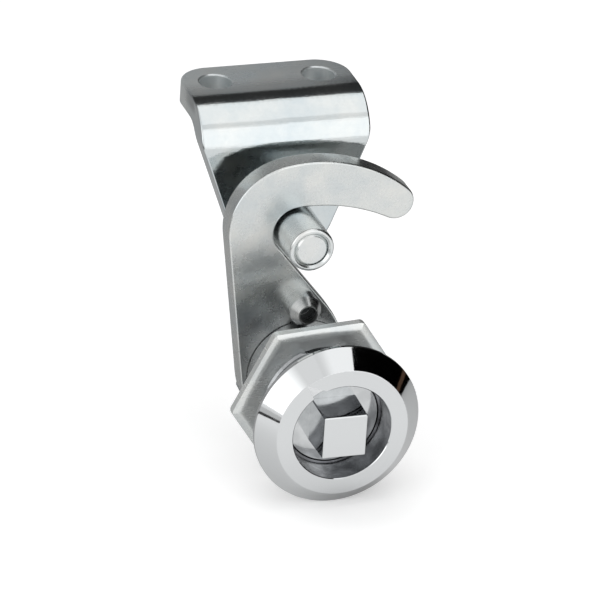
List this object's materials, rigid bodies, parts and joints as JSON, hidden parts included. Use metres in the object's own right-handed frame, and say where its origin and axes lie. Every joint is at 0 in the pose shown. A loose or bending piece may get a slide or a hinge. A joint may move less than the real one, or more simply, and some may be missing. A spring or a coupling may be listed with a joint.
{
  "type": "cam latch",
  "caption": "Quarter-turn hook cam latch for panels: a square-key driver swings a hook over a roller on a screw-fixed keeper.",
  "frame": {"origin": "on the turning axis, in the plane of the head's back face, where the panel bears", "axes": "the turning axis lies along Y with the square key stub towards -Y, +Z points from the axis up to the keeper, +X to the right seen from the key side"},
  "size_m": [0.0365, 0.0538, 0.062],
  "materials": {
    "chrome": "polished chrome on zinc die-casting",
    "zinc_steel": "bright zinc-plated steel",
    "spring_steel": "oiled spring steel",
    "seal_rubber": "matt"
  },
  "bodies": {
    "mounting": {"housing": "chrome", "panel_nut": "zinc_steel", "keeper_bracket": "zinc_steel", "keeper_pin": "zinc_steel", "roller_clip": "spring_steel"},
    "cam": {"driver": "chrome", "driver_seal": "seal_rubber", "hook_cam": "zinc_steel", "cam_stud": "zinc_steel", "tab_washer": "zinc_steel", "cam_nut": "zinc_steel"},
    "roller": {"keeper_roller": "zinc_steel"}
  },
  "joints": [
    {"name": "cam_turn", "type": "hinge", "parent": "mounting", "child": "cam", "pos_m": [0, 0, 0], "axis": [0, -1, 0], "range_deg": [0, 90]},
    {"name": "roller_spin", "type": "hinge", "parent": "mounting", "child": "roller", "pos_m": [-0.00196, 0.02, 0.0274], "axis": [0, 1, 0], "continuous": true}
  ]
}
